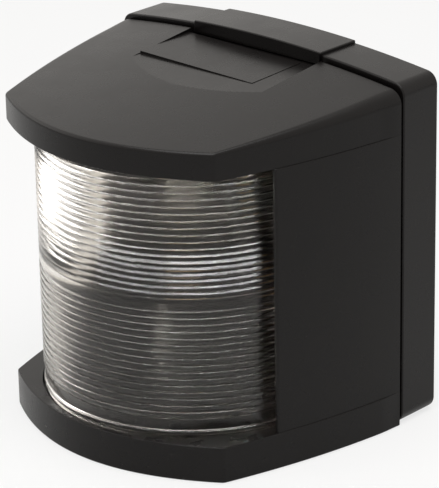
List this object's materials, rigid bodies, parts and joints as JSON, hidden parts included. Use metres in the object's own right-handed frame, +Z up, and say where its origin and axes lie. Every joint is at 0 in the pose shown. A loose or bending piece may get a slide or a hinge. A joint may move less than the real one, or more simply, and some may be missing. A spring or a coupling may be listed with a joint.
{
  "type": "navigation light",
  "caption": "Boat navigation light: black moulded housing and hooded front cover with a clear ribbed drum lens, hooked at the top and held by a screw below, over a bayonet lamp.",
  "frame": {"origin": "middle of the bounding box's bottom: the light stands on z = 0, centred left to right and front to back", "axes": "+Z up, the lens faces -Y, the flat back faces +Y, +X to the right seen from the front"},
  "size_m": [0.1042, 0.0866, 0.1029],
  "materials": {
    "black_moulding": "satin moulded, fine grain",
    "clear_lens": "clear polycarbonate, moulded ribs",
    "seal_rubber": "matt",
    "plated_steel": "zinc plated",
    "stainless_steel": "bright",
    "nickelled_brass": "nickel plated",
    "phenolic_resin": "pressed, matt",
    "spring_steel": "drawn wire",
    "nylon": "moulded",
    "wire_black": "PVC sleeve",
    "wire_red": "PVC sleeve",
    "brass": "drawn",
    "solder": "dull",
    "lamp_glass": "blown, clear",
    "tungsten": "drawn wire"
  },
  "bodies": {
    "base": {"rear_housing": "black_moulding", "housing_seal": "seal_rubber", "cable_grommet": "seal_rubber", "lamp_bracket": "plated_steel", "bracket_screw_left": "stainless_steel", "bracket_screw_right": "stainless_steel", "lamp_socket": "nickelled_brass", "socket_insulator": "phenolic_resin", "contact_spring": "spring_steel", "terminal_block": "nylon", "block_screw": "stainless_steel", "terminal_screw_left": "stainless_steel", "terminal_screw_right": "stainless_steel", "lead_negative": "wire_black", "lead_positive": "wire_red", "threaded_insert": "brass"},
    "cover": {"front_cover": "black_moulding", "fresnel_lens": "clear_lens", "lens_seal_upper": "seal_rubber", "lens_seal_lower": "seal_rubber", "lens_bar_left": "black_moulding", "lens_bar_right": "black_moulding"},
    "washer": {"screw_washer": "stainless_steel"},
    "screw": {"cover_screw": "stainless_steel"},
    "contacts": {"contact_carrier": "phenolic_resin", "contact_pin_left": "brass", "contact_pin_right": "brass"},
    "lamp": {"lamp_cap": "brass", "lamp_base": "phenolic_resin", "lamp_contact_left": "solder", "lamp_contact_right": "solder", "lamp_bulb": "lamp_glass", "lamp_stem": "lamp_glass", "lead_in_wire_left": "tungsten", "lead_in_wire_right": "tungsten", "filament": "tungsten"}
  },
  "joints": [
    {"name": "cover_tilt", "type": "hinge", "parent": "base", "child": "cover", "pos_m": [0, 0.02835, 0.0984], "axis": [-1, 0, 0], "range_deg": [0, 25]},
    {"name": "screw_lift", "type": "slide", "parent": "base", "child": "washer", "axis": [0, 0, -1], "range_m": [0, 0.0014]},
    {"name": "screw_turn", "type": "hinge", "parent": "washer", "child": "screw", "pos_m": [0, 0.03515, 0], "axis": [0, 0, -1], "range_deg": [0, 720]},
    {"name": "lamp_press", "type": "slide", "parent": "base", "child": "contacts", "axis": [0, 0, 1], "range_m": [0, 0.0018], "stiffness_N_per_m": 1500, "springref_m": -0.002, "deforming": ["contact_spring"]},
    {"name": "lamp_twist", "type": "hinge", "parent": "contacts", "child": "lamp", "pos_m": [0, 0.00125, 0.0478], "axis": [0, 0, 1], "range_deg": [0, 20]}
  ],
  "couplings": [
    {"joint": "screw_turn", "follows": "screw_lift", "rad_per_m": 8975}
  ]
}
